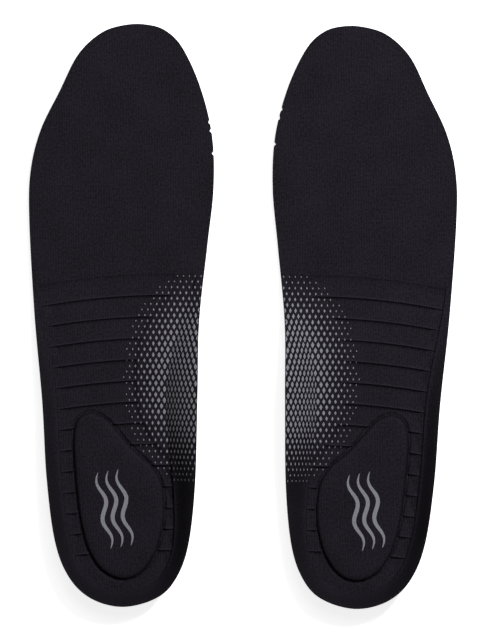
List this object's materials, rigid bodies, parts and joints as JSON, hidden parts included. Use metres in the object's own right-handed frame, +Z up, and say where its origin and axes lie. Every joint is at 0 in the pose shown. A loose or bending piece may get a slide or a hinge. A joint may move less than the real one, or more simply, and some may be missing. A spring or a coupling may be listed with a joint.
{
  "type": "cushioned insole",
  "caption": "Pair of full-length cushioned insoles with a textile cover, moulded foam footbed, heel cup, raised arch, gel heel cushion and stiff arch shell.",
  "frame": {"origin": "on the surface that the pair lies on, under the middle of the pair", "axes": "+Y from the heels to the toes, +X from the left insole to the right one, +Z up from the soles to the covers"},
  "size_m": [0.2098, 0.285, 0.0257],
  "materials": {
    "top_cover": "fine black knit bonded to foam, matt",
    "footbed_foam": "moulded charcoal foam, matt skin with fine open cells on the trimmed edge",
    "heel_cushion": "soft translucent gel, satin",
    "arch_shell": "flexible dark grey plastic, satin",
    "print_ink": "flat grey ink printed on the knit"
  },
  "bodies": {
    "root": {"left_top_cover": "top_cover", "left_footbed_foam": "footbed_foam", "left_heel_cushion": "heel_cushion", "left_arch_shell": "arch_shell", "right_top_cover": "top_cover", "right_footbed_foam": "footbed_foam", "right_heel_cushion": "heel_cushion", "right_arch_shell": "arch_shell"}
  },
  "joints": []
}
